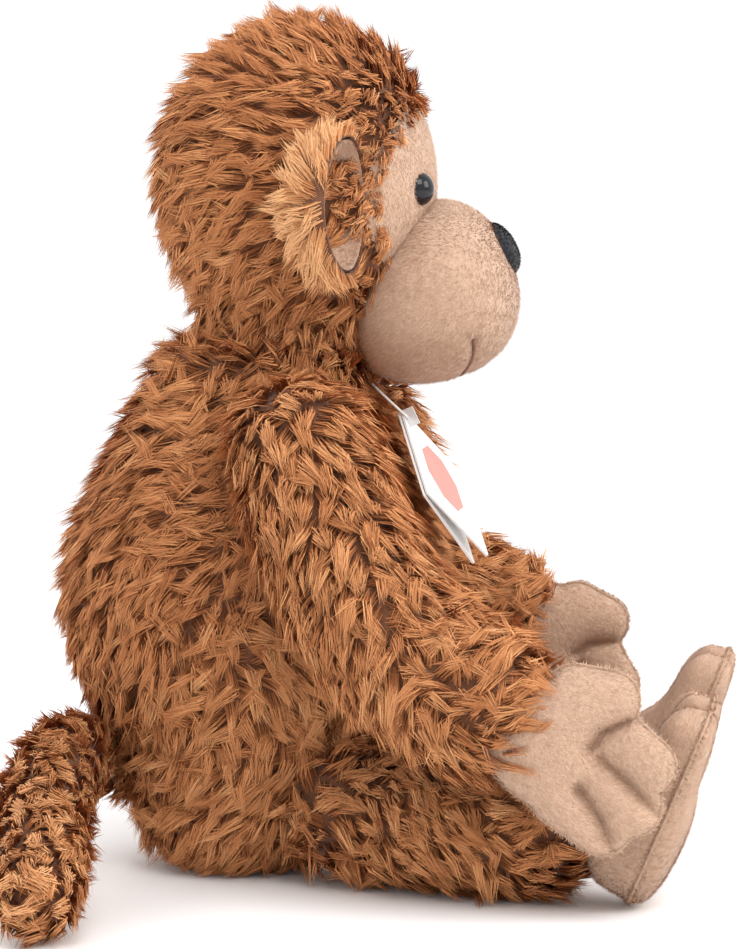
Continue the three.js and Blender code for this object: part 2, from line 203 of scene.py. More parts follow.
# ---- Body ---------------------------------------------------------------
# The pear-shaped body is sewn from a front and a back cover of long tufted pile
# over a dark knitted backing. The pile is cut in locks that curl every way.
BODY_SECTIONS = [  # height, front, back and half width in mm; front and back from the front of the body
    (3, 48, 93, 30), (12, 36, 102, 42), (36, 23, 110, 50), (62, 10, 123, 55), (92, 2, 133, 57),
    (122, 8, 129, 53), (150, 20, 115, 45), (170, 28, 104, 38), (186, 36, 96, 30),
]
PILE_SHADES = [
    (0.170, 0.050, 0.016), (0.270, 0.087, 0.028), (0.370, 0.130, 0.044), (0.470, 0.180, 0.064),
    (0.560, 0.235, 0.089), (0.650, 0.305, 0.125), (0.730, 0.390, 0.180),
]
ROOT_SHADE, TIP_SHADE = 1.8, 3.7  # where in that list a strand starts and ends, before it varies; the darker start is painted shade deep in the pile
LOCK_AREA = 17.0  # mm2 of cloth from which one lock grows
STRANDS_PER_LOCK = 25
LOWEST_STRAND = 0.3 * MM  # pile under the toy is pressed flat on the floor
BODY_AROUND, BODY_LEVELS = 48, 34
SEED = 7


def unit(v):
    return v / np.maximum(np.linalg.norm(v, axis=-1, keepdims=True), 1e-12)


def loft(rings):
    """A closed skin from rings of points, with a point at the middle of each end."""
    count, around, _ = rings.shape
    places = np.concatenate([rings.reshape(-1, 3), rings[0].mean(0)[None], rings[-1].mean(0)[None]])
    faces = []
    for i in range(count - 1):
        for k in range(around):
            a, b = i * around + k, i * around + (k + 1) % around
            faces += [(a, b, b + around), (a, b + around, a + around)]
    last, middle = (count - 1) * around, count * around
    for k in range(around):
        after = (k + 1) % around
        faces.append((k, middle, after))
        faces.append((last + k, last + after, middle + 1))
    return places, np.array(faces)


def outward(places, faces):
    """The same faces, turned so that they look out of the skin."""
    a, b, c = (places[faces[:, k]] for k in range(3))
    volume = np.einsum("ij,ij->i", a, np.cross(b, c)).sum()
    return faces[:, ::-1] if volume < 0 else faces


def corner_normals(places, faces):
    a, b, c = (places[faces[:, k]] for k in range(3))
    flat = np.cross(b - a, c - a)
    total = np.zeros_like(places)
    for k in range(3):
        np.add.at(total, faces[:, k], flat)
    return unit(total)


def swirl(points, size=0.034, phase=0.0):
    """A smooth field that turns this way and that over a few centimetres."""
    q = points / size
    x, y, z = q[:, 0] + phase, q[:, 1] - phase, q[:, 2] + 2 * phase
    return np.stack([
        np.sin(1.3 * y + 0.7 * z) + np.cos(2.1 * z - 0.9 * x),
        np.sin(1.7 * z - 0.6 * x) + np.cos(1.9 * x + 0.8 * y),
        np.sin(1.1 * x + 1.2 * y) + np.cos(2.3 * y - 1.0 * z),
    ], 1)


PILE_MATERIALS = [
    material(f"pile_shade_{i}", Base_Color=(*c, 1.0), Roughness=0.75, Specular_IOR_Level=0.25)
    for i, c in enumerate(PILE_SHADES)
]


def backing_paint(place):
    weave = noise(place, 260.0, 2.0)
    return {
        "Base_Color": weave.mixed((0.07, 0.024, 0.010), (0.22, 0.082, 0.034)),
        "Normal": bump(weave, 0.5, 0.001),
    }


BACKING = material("knitted_backing", backing_paint, Roughness=0.95, Sheen_Weight=0.2)


def face_areas(places, faces):
    a, b, c = (places[faces[:, k]] for k in range(3))
    return np.linalg.norm(np.cross(b - a, c - a), axis=1) / 2


def scatter(rng, places, faces, area, total):
    """Random roots spread evenly over the faces, and the way the cloth looks at each."""
    normals = corner_normals(places, faces)
    corners = faces[rng.choice(len(faces), total, p=area / area.sum())]
    s, t = rng.random((2, total, 1))
    over = s + t > 1
    s, t = np.where(over, 1 - s, s), np.where(over, 1 - t, t)
    shares = (1 - s - t, s, t)
    root = sum(places[corners[:, k]] * share for k, share in enumerate(shares))
    normal = sum(normals[corners[:, k]] * share for k, share in enumerate(shares))
    return root, unit(normal)


def pile(
    name, places, faces, flow, length=12.5, lift=0.55, curl=0.9, keep=None, tuft=0.68, seed=0, width=0.4,
    paler=0.0, wander=0.45, trim=None,
):
    """Long pile over a skin: strands gathered in locks whose tips meet. Lengths are in mm.

    flow(points, normals) gives the brushed direction, keep(points, normals) says where pile grows and
    trim(points) how much of its length is left.
    """
    rng = np.random.default_rng(SEED + seed)
    area = face_areas(places, faces)
    total = int(area.sum() / MM**2 / LOCK_AREA * STRANDS_PER_LOCK)
    root, normal = scatter(rng, places, faces, area, total)
    if keep is not None:
        kept = keep(root, normal)
        root, normal = root[kept], normal[kept]
    # Every so many roots, one root is the middle of a lock and the roots nearest to it join it.
    centre = root[::STRANDS_PER_LOCK]
    centre_normal = normal[::STRANDS_PER_LOCK]
    tree = KDTree(len(centre))
    for i, p in enumerate(centre):
        tree.insert(p, i)
    tree.balance()
    lock = np.array([tree.find(p)[1] for p in root])
    locks = len(centre)
    stray = rng.normal(0, wander, (locks, 3))
    brushed = unit(flow(centre, centre_normal)) + curl * swirl(centre) * 0.6 + stray
    brushed = unit(brushed - centre_normal * np.sum(brushed * centre_normal, 1, keepdims=True))
    rise = np.clip(rng.normal(lift, 0.14, (locks, 1)), 0.1, 1.1)
    reach = length * MM * np.clip(rng.normal(1.0, 0.16, (locks, 1)), 0.6, 1.35)
    if trim is not None:
        reach *= trim(centre)[:, None]
    tip = centre + (brushed * np.cos(rise) + centre_normal * np.sin(rise)) * reach
    bend = np.cross(centre_normal, brushed) * rng.normal(0, 0.28, (locks, 1)) * reach
    tone = np.clip(rng.normal(0, 0.6, locks) + 0.25 * swirl(centre, 0.05, 3.0)[:, 0], -1.4, 1.4)

    n = len(root)
    own = rng.normal(0, 1, (n, 3)) * 0.6 * MM
    spread = (root - centre[lock]) * (1 - tuft)
    stretch = np.clip(rng.normal(0.97, 0.13, (n, 1)), 0.55, 1.25)
    end = centre[lock] + (tip[lock] - centre[lock]) * stretch + spread + own
    control = root + normal * reach[lock] * 0.42 + brushed[lock] * reach[lock] * 0.28
    control = control + bend[lock] + own * 0.5
    start = root - normal * 0.4 * MM
    stations = np.array([0.0, 0.52, 1.0])
    steps = [start * (1 - u) ** 2 + control * 2 * u * (1 - u) + end * u**2 for u in stations]
    along = unit(end - start)
    twist = rng.uniform(-1.1, 1.1, (n, 1))
    side = unit(np.cross(along, normal))
    side = unit(side * np.cos(twist) + np.cross(along, side) * np.sin(twist))
    face = np.cross(side, along)
    turned_in = np.sum(face * normal, 1, keepdims=True) < 0
    side, face = np.where(turned_in, -side, side), np.where(turned_in, -face, face)
    half = width * MM / 2 * rng.uniform(0.75, 1.25, (n, 1))
    rows = []
    for p, w in zip(steps[:2], (0.9, 1.0)):
        rows += [p - side * half * w, p + side * half * w]
    rows.append(steps[2])
    verts = np.stack(rows, 1).reshape(-1, 3)
    verts[:, 2] = np.maximum(verts[:, 2], LOWEST_STRAND)
    # A strand is a four-sided blade with a three-sided point: five corners and seven loops.
    corners_each, loops_each = 5, 7
    base = np.arange(n)[:, None] * corners_each
    lower = base + [0, 1, 3, 2]
    point = base + [2, 3, 4]
    mesh = bpy.data.meshes.new(name)
    mesh.vertices.add(len(verts))
    mesh.vertices.foreach_set("co", verts.astype(np.float32).ravel())
    loops = np.concatenate([lower, point], 1)
    mesh.loops.add(loops.size)
    mesh.loops.foreach_set("vertex_index", loops.astype(np.int32).ravel())
    starts = np.arange(n)[:, None] * loops_each + np.array([0, 4])
    mesh.polygons.add(n * 2)
    mesh.polygons.foreach_set("loop_start", starts.astype(np.int32).ravel())
    for m in PILE_MATERIALS:
        mesh.materials.append(m)
    # Root faces take darker shades than points: painted shade deep in the pile, under the paler tips.
    shade = tone[lock][:, None] + rng.normal(0, 0.45, (n, 1)) + np.array([ROOT_SHADE, TIP_SHADE]) + paler
    shade = np.clip(np.rint(shade), 0, len(PILE_SHADES) - 1)
    mesh.polygons.foreach_set("material_index", shade.astype(np.int32).ravel())
    mesh.update(calc_edges=True)
    # Each strand is lit mostly as the cloth under it is, which keeps the pile soft.
    lit = unit(0.55 * unit(face) + 0.85 * normal)
    mesh.polygons.foreach_set("use_smooth", [True] * len(mesh.polygons))
    mesh.normals_split_custom_set_from_vertices(np.repeat(lit, corners_each, 0).tolist())
    made = bpy.data.objects.new(name, mesh)
    bpy.context.scene.collection.objects.link(made)
    return made


def part_of(places, faces, inside):
    """The faces whose middles pass a test."""
    return faces[inside(places[faces].mean(1))]


def ride_all(body, *objects):
    for o in objects:
        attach(o, body)


front_low, front_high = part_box("torso_front_plush")
body_x = (front_low.x + front_high.x) / 2
body_front = front_low.y
body_seam = front_high.y
angles = np.linspace(0, 2 * math.pi, BODY_AROUND, endpoint=False)
levels = np.linspace(BODY_SECTIONS[0][0], BODY_SECTIONS[-1][0], BODY_LEVELS)
sections = np.array(BODY_SECTIONS, float)


def smooth_table(at, xs, ys):
    """A table read with smooth steps between its rows."""
    slopes = np.gradient(ys, xs)
    i = np.clip(np.searchsorted(xs, at) - 1, 0, len(xs) - 2)
    h = xs[i + 1] - xs[i]
    u = np.clip((at - xs[i]) / h, 0, 1)
    a, b = ys[i], ys[i + 1]
    return (
        a * (1 + 2 * u) * (1 - u) ** 2 + b * u**2 * (3 - 2 * u)
        + h * (slopes[i] * u * (1 - u) ** 2 - slopes[i + 1] * u**2 * (1 - u))
    )


body_rings = []
for z in levels:
    front, back, half = (smooth_table(np.array([z]), sections[:, 0], sections[:, k])[0] for k in (1, 2, 3))
    body_rings.append(np.stack([
        body_x + half * MM * np.cos(angles),
        body_front + (front + back) / 2 * MM + (back - front) / 2 * MM * np.sin(angles),
        np.full(BODY_AROUND, z * MM),
    ], 1))
body_places, body_faces = loft(np.array(body_rings))
body_faces = outward(body_places, body_faces)


def body_flow(points, normals):
    """Brushed straight down."""
    return np.tile([0.0, 0.0, -0.55], (len(points), 1))


HALVES = {
    "torso_front": ("torso_front_plush", lambda p: p[:, 1] < body_seam),
    "torso_back": ("torso_back_plush", lambda p: p[:, 1] >= body_seam),
}
for seed, (name, (node, inside)) in enumerate(HALVES.items()):
    own_faces = part_of(body_places, body_faces, inside)
    backing = mesh_object(name + "_backing", body_places, own_faces, [BACKING])
    fur = pile(
        name + "_pile", body_places, body_faces, body_flow,
        keep=lambda p, n, inside=inside: inside(p) & (n[:, 2] > -0.97), seed=seed,
    )
    ride_all("torso", backing, fur)
    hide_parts(node)

# ---- Head ---------------------------------------------------------------
# A ball of the same pile, sewn from a right and a left half, open at the front for the face.
# The head looks a little to the toy's left, so its parts are laid out straight and then turned.
HEAD_TURN = math.radians(9.0)
NECK_RISE = 170 * MM
TOY = PIVOT["neck_turn"] - np.array([0, NECK_BACK, NECK_RISE])
HEAD_MIDDLE = np.array([0, 26, 248]) * MM
HEAD_RADII = np.array([47, 48, 55]) * MM
FACE_RISE = 244 * MM
FACE_HALF = (38 * MM, 31 * MM)
EAR_ROOT, EAR_ROOT_SIZE = np.array([54, 14, 239]) * MM, 16 * MM


def head_place(points):
    """Straight places, in metres from the toy's own middle, turned and moved to where the head is."""
    p = np.asarray(points, float)
    c, s = math.cos(HEAD_TURN), math.sin(HEAD_TURN)
    y = p[..., 1] - NECK_BACK
    return np.stack([p[..., 0] * c - y * s, p[..., 0] * s + y * c + NECK_BACK, p[..., 2]], -1) + TOY


def head_straight(points):
    """The way back from head_place."""
    p = np.asarray(points, float) - TOY
    c, s = math.cos(HEAD_TURN), math.sin(HEAD_TURN)
    y = p[..., 1] - NECK_BACK
    return np.stack([p[..., 0] * c + y * s, -p[..., 0] * s + y * c + NECK_BACK, p[..., 2]], -1)


def head_way(vectors):
    return head_place(vectors) - head_place(np.zeros(3))


def ball_skin(centre, radii, around=40, down=24):
    """A closed ball skin, ringed from top to bottom."""
    rows = []
    u = np.linspace(0, 2 * math.pi, around, endpoint=False)
    for v in np.linspace(0.06, math.pi - 0.06, down):
        ring = [np.cos(u) * math.sin(v), np.sin(u) * math.sin(v), np.full(around, math.cos(v))]
        rows.append(np.stack(ring, 1))
    places, faces = loft(np.array(rows))
    return centre + places * radii, outward(places, faces)


def face_distance(p):
    """Below 1 inside the oval on the front of the head that the face fills. p is straight."""
    oval = (p[:, 0] / FACE_HALF[0]) ** 2 + ((p[:, 2] - FACE_RISE) / FACE_HALF[1]) ** 2
    return np.where(p[:, 1] < HEAD_MIDDLE[1], np.sqrt(oval), 9.0)


def head_flow(points, normals):
    p = head_straight(points)
    away = p - HEAD_MIDDLE
    rim = np.clip(1.3 - face_distance(p), 0, 1)[:, None]
    forward = np.stack([-away[:, 0] * 4, np.full(len(p), -0.9), -(p[:, 2] - FACE_RISE) * 4], 1)
    return head_way(np.array([0.0, 0.3, -0.3]) * (1 - rim) + forward * rim)


head_places, head_faces = ball_skin(HEAD_MIDDLE, HEAD_RADII)
head_places = head_place(head_places)
for seed, (side, s) in enumerate(SIDES.items()):
    def cloth(p, s=s):
        q = head_straight(p)
        return (q[:, 0] * s >= 0) & (face_distance(q) > 0.97)

    def grown(p, n, cloth=cloth, s=s):
        q = head_straight(p) - EAR_ROOT * [s, 1, 1]
        clear_of_ear = (np.linalg.norm(q, axis=1) > EAR_ROOT_SIZE) | (q[:, 1] < 1 * MM)
        return cloth(p) & (n[:, 2] > -0.93) & clear_of_ear

    own_faces = part_of(head_places, head_faces, cloth)
    backing = mesh_object(f"head_{side}_backing", head_places, own_faces, [BACKING])
    fur = pile(
        f"head_{side}_pile", head_places, head_faces, head_flow,
        keep=grown, seed=10 + seed, length=12,
        trim=lambda p: np.clip(0.5 + 1.3 * (face_distance(head_straight(p)) - 1), 0.5, 1),
    )
    ride_all("head", backing, fur)
    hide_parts(f"head_{side}_plush")


# ---- Face ---------------------------------------------------------------
# An oval of short smooth beige pile set into the front of the head. The pile lies in fine streaks.
def velboa_paint(pale, deep):
    def paint(place):
        mottle = noise(place, 42.0, 4.0, 0.6)
        streaks = noise(place, 900.0, 2.0, 0.6)
        nap = noise(place, 420.0, 3.0, 0.7, 0.6)
        tint = mottle * 0.5 + nap * 0.3 + streaks * 0.35 - 0.08
        return {
            "Base_Color": tint.mixed(deep, pale),
            "Normal": bump(nap * 0.7 + streaks * 0.3, 0.55, 0.0009),
        }
    return paint


VELBOA = material(
    "velboa", velboa_paint((0.55, 0.37, 0.265), (0.42, 0.265, 0.18)),
    Roughness=0.95, Sheen_Weight=0.2, Sheen_Roughness=0.5,
)
NAP_SHADES = [
    material(f"nap_shade_{i}", Base_Color=(*c, 1.0), Roughness=0.85, Specular_IOR_Level=0.3)
    for i, c in enumerate([(0.48, 0.295, 0.195), (0.57, 0.37, 0.255), (0.66, 0.45, 0.32)])
]


def nap(
    name, places, faces, way, per_mm2=3.0, length=1.7, lift=0.5, width=0.3, shades=NAP_SHADES,
    keep=None, seed=0,
):
    """Short pile over a smooth skin: one thin blade to a strand, brushed one way. Lengths are in mm."""
    rng = np.random.default_rng(SEED + 200 + seed)
    area = face_areas(places, faces)
    root, normal = scatter(rng, places, faces, area, int(area.sum() / MM**2 * per_mm2))
    if keep is not None:
        kept = keep(root)
        root, normal = root[kept], normal[kept]
    n = len(root)
    brushed = np.array(way, float) + 0.25 * swirl(root, 0.02) + rng.normal(0, 0.3, (n, 3))
    brushed = unit(brushed - normal * np.sum(brushed * normal, 1, keepdims=True))
    rise = np.clip(rng.normal(lift, 0.15, (n, 1)), 0.1, 1.3)
    along = brushed * np.cos(rise) + normal * np.sin(rise)
    side = unit(np.cross(along, normal)) * width * MM / 2
    tip = root + along * length * MM * rng.uniform(0.7, 1.2, (n, 1))
    sunk = normal * 0.1 * MM
    verts = np.stack([root - side - sunk, root + side - sunk, tip], 1).reshape(-1, 3)
    made = mesh_object(name, verts, np.arange(3 * n).reshape(-1, 3), shades)
    made.data.polygons.foreach_set("material_index", rng.integers(0, len(shades), n).astype(np.int32))
    made.data.normals_split_custom_set_from_vertices(np.repeat(normal, 3, 0).tolist())
    return made


def disc_faces(rings, around):
    """Faces of a patch made of one middle point and then rings of points."""
    faces = [(0, 1 + k, 1 + (k + 1) % around) for k in range(around)]
    for i in range(rings - 1):
        for k in range(around):
            a, b = 1 + i * around + k, 1 + i * around + (k + 1) % around
            faces += [(a, a + around, b + around), (a, b + around, b)]
    return np.array(faces)


FACE_RINGS, FACE_AROUND = 14, 48
face_turn = np.linspace(0, 2 * math.pi, FACE_AROUND, endpoint=False)
face_rows = [np.array([[0, 0]])]
for r in np.linspace(0, 1, FACE_RINGS + 1)[1:]:
    face_rows.append(np.stack([np.cos(face_turn), np.sin(face_turn)], 1) * r)
face_flat = np.concatenate(face_rows) * (np.array(FACE_HALF) * 1.1)
face_x, face_z = face_flat[:, 0], face_flat[:, 1] + FACE_RISE
inside_head = 1 - (face_x / HEAD_RADII[0]) ** 2 - ((face_z - HEAD_MIDDLE[2]) / HEAD_RADII[2]) ** 2
face_y = HEAD_MIDDLE[1] - HEAD_RADII[1] * np.sqrt(np.clip(inside_head, 0.02, 1)) - 0.8 * MM
face_places = head_place(np.stack([face_x, face_y, face_z], 1))
face_faces = disc_faces(FACE_RINGS, FACE_AROUND)
if corner_normals(face_places, face_faces)[0][1] > 0:
    face_faces = face_faces[:, ::-1]
face_skin = mesh_object("face_skin", face_places, face_faces, [VELBOA])
face_nap = nap("face_nap", face_places, face_faces, (0, 0, -1), seed=1, per_mm2=2.5)
ride_all("head", face_skin, face_nap)
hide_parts("face_panel")

# ---- Muzzle -------------------------------------------------------------
# A full rounded snout of the same smooth cloth, stuffed on its own and sewn over the lower face.
MUZZLE_MIDDLE = np.array([0, -20, 206]) * MM
MUZZLE_HALF = 35 * MM
MUZZLE_OUTLINE = [  # front to back and height in mm, from the eye crease down the front and under
    (-26, 242), (-35, 239), (-44, 231), (-50, 218), (-53, 205), (-49, 190), (-38, 180.5),
    (-24, 176), (-10, 175.5), (3, 181), (9, 197), (6, 215), (-6, 232), (-16, 240),
]


def muzzle_reach():
    """Angle and distance of the outline round the muzzle's middle, ready to read at any angle."""
    rel = np.array(MUZZLE_OUTLINE) * MM - MUZZLE_MIDDLE[1:]
    angle = np.unwrap(np.arctan2(rel[:, 1], rel[:, 0]))
    far = np.hypot(rel[:, 0], rel[:, 1])
    order = np.argsort(angle % (2 * math.pi))
    return (angle % (2 * math.pi))[order], far[order]


MUZZLE_ANGLES, MUZZLE_FAR = muzzle_reach()


def muzzle_point(across, angle, lift=0.0):
    """A point on the muzzle: how far across it, the angle round its middle, and how far off the cloth."""
    angle = np.asarray(angle) % (2 * math.pi)
    nearby = (-0.2, -0.1, 0, 0.1, 0.2)
    near = [np.interp(angle + d, MUZZLE_ANGLES, MUZZLE_FAR, period=2 * math.pi) for d in nearby]
    far = np.average(near, 0, weights=[1, 2, 3, 2, 1])
    share = np.clip(np.asarray(across) / MUZZLE_HALF, -1, 1)
    far = far * (1 - share**2) ** 0.43 + lift
    y = MUZZLE_MIDDLE[1] + far * np.cos(angle)
    z = MUZZLE_MIDDLE[2] + far * np.sin(angle)
    return np.stack([np.broadcast_to(across, far.shape), y, z], -1)


MUZZLE_AROUND = 72
muzzle_turn = np.linspace(0, 2 * math.pi, MUZZLE_AROUND, endpoint=False)
muzzle_rings = np.array([
    muzzle_point(np.full(MUZZLE_AROUND, MUZZLE_HALF * math.sin(v)), muzzle_turn)
    for v in np.linspace(-1.5, 1.5, 41)
])
# The mouth's stitches draw a shallow groove into the cloth, with a dimple at each end.
SMILE = [(t * 27 * MM, math.radians(247.5 - 24.5 * t * t)) for t in np.linspace(-1, 1, 41)]
smile_line = np.array([muzzle_point(np.array(x), np.array(a)) for x, a in SMILE])
flat_places = muzzle_rings.reshape(-1, 3)
away = np.sqrt(((flat_places[:, None] - smile_line[None]) ** 2).sum(2)).min(1)
inward = unit(MUZZLE_MIDDLE - flat_places)
dent = 0.8 * np.exp(-((away / (1.8 * MM)) ** 2))
for x in (-27, 27):
    corner = muzzle_point(np.array(x * MM), np.array(math.radians(223)))
    dent += 0.6 * np.exp(-(np.linalg.norm(flat_places - corner, axis=1) / (4 * MM)) ** 2)
muzzle_rings = (flat_places + inward * dent[:, None] * MM).reshape(muzzle_rings.shape)
muzzle_places, muzzle_faces = loft(muzzle_rings)
muzzle_faces = outward(muzzle_places - MUZZLE_MIDDLE, muzzle_faces)
muzzle_places = head_place(muzzle_places)
muzzle_skin = mesh_object("muzzle_skin", muzzle_places, muzzle_faces, [VELBOA])
muzzle_nap = nap(
    "muzzle_nap", muzzle_places, muzzle_faces, (0, 0.9, -0.5), seed=2, per_mm2=2.6,
    keep=lambda p: head_straight(p)[:, 1] < 8 * MM,
)
ride_all("head", muzzle_skin, muzzle_nap)
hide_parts("muzzle_plush")

# ---- Mouth --------------------------------------------------------------
# One line of brown thread stitched in a smile along the muzzle's lower seam.
def thread_tube(points, radius, around=8):
    """A thin round tube through points, as closed rings."""
    p = np.array(points, float)
    along = unit(np.gradient(p, axis=0))
    hint = np.array([0.0, 0.0, 1.0])
    across = unit(np.cross(along, hint) + 1e-9)
    over = np.cross(along, across)
    angle = np.linspace(0, 2 * math.pi, around, endpoint=False)
    rings = p[:, None] + radius * (
        across[:, None] * np.cos(angle)[None, :, None] + over[:, None] * np.sin(angle)[None, :, None]
    )
    places, faces = loft(rings)
    return places, outward(places - places.mean(0), faces)


THREAD = material("mouth_thread", lambda place: {
    "Base_Color": noise(place, 700.0, 2.0).mixed((0.10, 0.045, 0.028), (0.26, 0.13, 0.085)),
    "Normal": bump(noise(place, 1500.0, 2.0), 0.4, 0.0003),
}, Roughness=0.7)
mouth_line = head_place(np.array([muzzle_point(np.array(x), np.array(a), -0.5 * MM) for x, a in SMILE]))
mouth = mesh_object("mouth_thread", *thread_tube(mouth_line, 0.62 * MM), [THREAD])
ride_all("head", mouth)
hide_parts("mouth_stitch")

# ---- Nose ---------------------------------------------------------------
# A black velour pad, lightly filled and sewn on high at the front of the muzzle.
NOSE_RADII = np.array([13.0, 10.2, 6.2]) * MM
nose_normal = unit(np.array([0, -0.86, 0.51]))
nose_middle = np.array([0, -45.4, 223.6]) * MM
nose_axes = np.stack([np.array([1.0, 0, 0]), np.cross(nose_normal, [1.0, 0, 0]), nose_normal])
nose_ball, nose_faces = ball_skin(np.zeros(3), np.ones(3), 36, 20)
nose_ball = np.sign(nose_ball) * np.abs(nose_ball) ** 0.92
nose_places = head_place(nose_middle + (nose_ball * NOSE_RADII) @ nose_axes)
nose_faces = outward(nose_places - nose_places.mean(0), nose_faces)
VELOUR = material("nose_velour", lambda place: {
    "Base_Color": noise(place, 800.0, 3.0).mixed((0.006, 0.006, 0.008), (0.035, 0.034, 0.042)),
    "Normal": bump(noise(place, 1100.0, 2.0), 0.6, 0.0006),
}, Roughness=0.9, Sheen_Weight=0.25, Sheen_Roughness=0.35)
nose = mesh_object("nose_velour_pad", nose_places, nose_faces, [VELOUR])
NOSE_NAP = [material("nose_nap_dark", Base_Color=(0.008, 0.008, 0.011, 1.0), Roughness=0.8)]
nose_nap = nap("nose_nap", nose_places, nose_faces, (0, 0.3, -0.8), 5.0, 0.9, 0.9, 0.3, NOSE_NAP, seed=3)
ride_all("head", nose, nose_nap)
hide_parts("nose_pad")

# ---- Eyes ---------------------------------------------------------------
# Glossy black safety eyes: a dome on a shank pushed through the face and held by a washer inside.
EYE_SIDE, EYE_RISE = 21 * MM, 245 * MM
GLOSS = material("eye_gloss", lambda place: {
    "Base_Color": noise(place, 60.0, 1.0).mixed((0.004, 0.004, 0.006), (0.010, 0.010, 0.013)),
}, Roughness=0.09, Specular_IOR_Level=0.35)
for side, s in SIDES.items():
    rel = np.array([EYE_SIDE * s, 0, EYE_RISE]) - HEAD_MIDDLE
    deep = math.sqrt(1 - (rel[0] / HEAD_RADII[0]) ** 2 - (rel[2] / HEAD_RADII[2]) ** 2)
    eye_middle = HEAD_MIDDLE + np.array([rel[0], -HEAD_RADII[1] * deep, rel[2]])
    eye_way = unit((eye_middle - HEAD_MIDDLE) / HEAD_RADII**2)
    aside = unit(np.cross([0, 0, 1.0], eye_way))
    eye_axes = np.stack([aside, np.cross(eye_way, aside), eye_way])
    dome, dome_faces = ball_skin(np.zeros(3), np.array([6.1, 6.1, 5.4]) * MM, 40, 24)
    places = head_place(eye_middle - eye_way * 0.9 * MM + dome @ eye_axes)
    eye = mesh_object(f"eye_{side}_dome", places, outward(places - places.mean(0), dome_faces), [GLOSS])
    ride_all("head", eye)
    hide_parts(f"eye_{side}")

# ---- Ears ---------------------------------------------------------------
# Each ear is a cup of long straight golden pile outside and smooth beige cloth inside.
# It is sewn to the side of the head by its back, and its pile fans back from the outer edge.
EAR_MIDDLE = np.array([60, 10, 239]) * MM
EAR_RADII = np.array([22, 19, 24]) * MM
EAR_RINGS, EAR_AROUND = 16, 56
for seed, (side, s) in enumerate(SIDES.items()):
    back = unit(np.array([-0.32 * s, 1.0, 0.0]))
    up = np.array([0.0, 0.0, 1.0])
    out = np.cross(up, back) * -s
    angle = np.linspace(0, 2 * math.pi, EAR_AROUND, endpoint=False)
    lateral = np.maximum(np.cos(angle), 0)
    reach = math.radians(96) - math.radians(9) * lateral**1.5
    middle = EAR_MIDDLE * np.array([s, 1, 1])
    layers = []
    for shrink, ends in ((0.0, 1.0), (1.6 * MM, 0.985)):
        rows = [back[None]]
        for r in np.linspace(0, ends, EAR_RINGS + 1)[1:]:
            a = (reach * r)[:, None]
            rim = np.cos(angle)[:, None] * out + np.sin(angle)[:, None] * up
            rows.append(np.cos(a) * back + np.sin(a) * rim)
        layers.append(head_place(middle + np.concatenate(rows) * (EAR_RADII - shrink)))
    ear_faces = outward(layers[0] - head_place(middle), disc_faces(EAR_RINGS, EAR_AROUND))
    fan = layers[0][1 + (EAR_RINGS - 1) * EAR_AROUND]

    def ear_flow(points, normals, fan=fan):
        return unit(points - fan)

    shell = mesh_object(f"ear_{side}_backing", layers[0], ear_faces, [BACKING])
    lining = mesh_object(f"ear_{side}_lining_cloth", layers[1], ear_faces[:, ::-1], [VELBOA])
    fuzz = nap(f"ear_{side}_lining_nap", layers[1], ear_faces[:, ::-1], (0, 0, -1), 2.5, seed=5 + seed)
    fur = pile(
        f"ear_{side}_pile", layers[0], ear_faces, ear_flow, length=11, lift=0.42, curl=0.05, seed=15 + seed,
        paler=3.4, wander=0.12, tuft=0.5,
    )
    ride_all(f"ear_{side}", shell, lining, fuzz, fur)
    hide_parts(f"ear_{side}_plush")
    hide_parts(f"ear_{side}_lining")

# ---- Neck ---------------------------------------------------------------
# A short furry stalk that closes the step between head and shoulders.
def tube_skin(points, radii, around=32, steps=40, side=(1.0, 0.0, 0.0)):
    """A closed round-ended skin along a smooth path. radii holds (share of the way, radius in mm) rows."""
    control = np.array(points, float)
    padded = np.concatenate([[2 * control[0] - control[1]], control, [2 * control[-1] - control[-2]]])
    u = np.linspace(0, len(control) - 1, 400)
    i = np.minimum(u.astype(int), len(control) - 2)
    t = (u - i)[:, None]
    p0, p1, p2, p3 = padded[i], padded[i + 1], padded[i + 2], padded[i + 3]
    second, third = 2 * p0 - 5 * p1 + 4 * p2 - p3, 3 * p1 - p0 - 3 * p2 + p3
    curve = 0.5 * (2 * p1 + (p2 - p0) * t + second * t**2 + third * t**3)
    gone = np.concatenate([[0], np.cumsum(np.linalg.norm(np.diff(curve, axis=0), axis=1))])
    share = np.linspace(0, 1, steps)
    path = np.stack([np.interp(share * gone[-1], gone, curve[:, k]) for k in range(3)], 1)
    along = unit(np.gradient(path, axis=0))
    table = np.array(radii, float)
    radius = np.interp(share, table[:, 0], table[:, 1]) * MM
    centres, sizes, ways = [path], [radius], [along]
    dome = np.radians([20, 40, 58, 72, 82])
    for end in (0, -1):
        out = along[end] * (-1 if end == 0 else 1)
        extra = path[end] + out * radius[end] * np.sin(dome)[:, None]
        shrunk = radius[end] * np.cos(dome)
        same = np.repeat(along[end][None], len(dome), 0)
        if end == 0:
            centres, sizes, ways = [extra[::-1], *centres], [shrunk[::-1], *sizes], [same, *ways]
        else:
            centres, sizes, ways = [*centres, extra], [*sizes, shrunk], [*ways, same]
    centres, sizes, ways = (np.concatenate(v) for v in (centres, sizes, ways))
    across = unit(np.array(side) - ways * (ways @ np.array(side))[:, None])
    over = np.cross(ways, across)
    turn = np.linspace(0, 2 * math.pi, around, endpoint=False)
    circle = across[:, None] * np.cos(turn)[None, :, None] + over[:, None] * np.sin(turn)[None, :, None]
    places, faces = loft(centres[:, None] + circle * sizes[:, None, None])
    return places, outward(places - places.mean(0), faces), path, along


def along_path(path, along):
    """A brushed direction that follows a limb."""
    def flow(points, normals):
        nearest = np.argmin(((points[:, None] - path[None]) ** 2).sum(2), 1)
        return along[nearest]
    return flow


